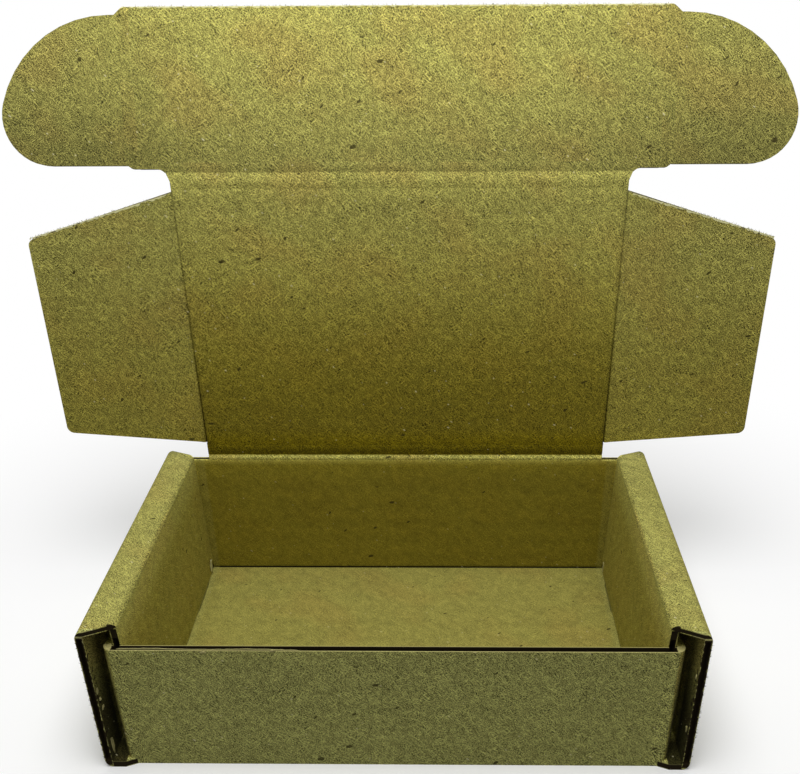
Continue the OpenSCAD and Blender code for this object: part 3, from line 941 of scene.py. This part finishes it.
def white_for_the_camera(tree, soft, output):
    """Joins a soft shader for the light's own rays and a white one for what the camera sees."""
    path = tree.nodes.new("ShaderNodeLightPath")
    seen = tree.nodes.new("ShaderNodeMath")
    seen.operation = "MAXIMUM"
    tree.links.new(path.outputs["Is Camera Ray"], seen.inputs[0])
    glossy = tree.nodes.new("ShaderNodeMath")
    glossy.operation = "MAXIMUM"
    tree.links.new(path.outputs["Is Glossy Ray"], glossy.inputs[0])
    tree.links.new(path.outputs["Is Transmission Ray"], glossy.inputs[1])
    tree.links.new(glossy.outputs[0], seen.inputs[1])
    white = tree.nodes.new("ShaderNodeBackground")
    white.inputs["Color"].default_value = (1.0, 1.0, 1.0, 1.0)
    mix = tree.nodes.new("ShaderNodeMixShader")
    tree.links.new(seen.outputs[0], mix.inputs[0])
    tree.links.new(soft.outputs[0], mix.inputs[1])
    tree.links.new(white.outputs[0], mix.inputs[2])
    tree.links.new(mix.outputs[0], output.inputs["Surface"])


def softbox(name, at, target, size, watts):
    data = bpy.data.lights.new(name, "AREA")
    data.shape = "DISK"
    data.size = size
    data.energy = watts
    lamp = bpy.data.objects.new(name, data)
    lamp.location = at
    lamp.rotation_euler = (Vector(target) - Vector(at)).to_track_quat("-Z", "Y").to_euler()
    bpy.context.scene.collection.objects.link(lamp)


def hang_the_lights():
    """Plain soft light: an even sky that the camera sees as white, and three softboxes."""
    scene = bpy.context.scene
    scene.view_settings.view_transform = "Standard"
    world = bpy.data.worlds.new("studio")
    scene.world = world
    world.use_nodes = True
    tree = world.node_tree
    tree.nodes.clear()
    soft = tree.nodes.new("ShaderNodeBackground")
    soft.inputs["Color"].default_value = (1.0, 1.0, 1.0, 1.0)
    soft.inputs["Strength"].default_value = AMBIENT
    white_for_the_camera(tree, soft, tree.nodes.new("ShaderNodeOutputWorld"))
    softbox("overhead", *OVERHEAD)
    softbox("low", *LOW_LAMP)
    softbox("back", *BACK_FILL)


def floor_paint():
    """Pale floor that throws little light back. For the camera's rays it is near white, and away from the box
    it runs out into plain white."""
    paint = bpy.data.materials.new("floor_white")
    paint.use_nodes = True
    tree = paint.node_tree
    path = tree.nodes.new("ShaderNodeLightPath")
    shade = tree.nodes.new("ShaderNodeMix")
    shade.data_type = "RGBA"
    tree.links.new(path.outputs["Is Camera Ray"], shade.inputs[0])
    shade.inputs[6].default_value = FLOOR_BOUNCE
    shade.inputs[7].default_value = FLOOR_SEEN
    shader = tree.nodes["Principled BSDF"]
    tree.links.new(shade.outputs[2], shader.inputs["Base Color"])
    shader.inputs["Roughness"].default_value = 0.9
    shader.inputs["Specular IOR Level"].default_value = 0.1
    place = tree.nodes.new("ShaderNodeTexCoord")
    distance = tree.nodes.new("ShaderNodeVectorMath")
    distance.operation = "LENGTH"
    tree.links.new(place.outputs["Object"], distance.inputs[0])
    fade = tree.nodes.new("ShaderNodeMapRange")
    fade.interpolation_type = "SMOOTHSTEP"
    tree.links.new(distance.outputs["Value"], fade.inputs["Value"])
    fade.inputs["From Min"].default_value, fade.inputs["From Max"].default_value = FLOOR_FADE
    share = tree.nodes.new("ShaderNodeMath")
    share.operation = "MULTIPLY"
    tree.links.new(fade.outputs["Result"], share.inputs[0])
    tree.links.new(path.outputs["Is Camera Ray"], share.inputs[1])
    white = tree.nodes.new("ShaderNodeEmission")
    mix = tree.nodes.new("ShaderNodeMixShader")
    tree.links.new(share.outputs[0], mix.inputs[0])
    tree.links.new(shader.outputs[0], mix.inputs[1])
    tree.links.new(white.outputs[0], mix.inputs[2])
    tree.links.new(mix.outputs[0], tree.nodes["Material Output"].inputs["Surface"])
    return paint


def lay_the_floor():
    low, high = -FLOOR_REACH, FLOOR_REACH
    mesh = bpy.data.meshes.new("floor")
    mesh.from_pydata([(low, low, 0), (high, low, 0), (high, high, 0), (low, high, 0)], [], [(0, 1, 2, 3)])
    mesh.materials.append(floor_paint())
    floor = bpy.data.objects.new("floor", mesh)
    bpy.context.scene.collection.objects.link(floor)


look_from_the_photo()
hang_the_lights()
lay_the_floor()
lid_kraft = lid_plane()
tuck_kraft = tuck_plane()
tray_kraft = tray_board()
torn_paper = fibre_paint("torn_kraft", CUT_LINER, 0.5)
dark_paper = fibre_paint("dark_kraft", DARK_FIBRE, 0.5)
pale_paper = fibre_paint("pale_kraft", PALE, 0.4)
dress("tray", tray_kraft)
for node in ("lid", "dust_flap_left", "dust_flap_right"):
    dress(node, lid_kraft)
for node in ("tuck_flap", "ear_left", "ear_right"):
    dress(node, tuck_kraft)
cover_folds(fold_paper("kraft_fold_inside", 0.0), fold_paper("kraft_fold_outside", 1.0))
open_front_edge(torn_paper)
torn_marks(torn_paper, pale_paper)
ragged_edges(torn_paper, dark_paper, pale_paper)
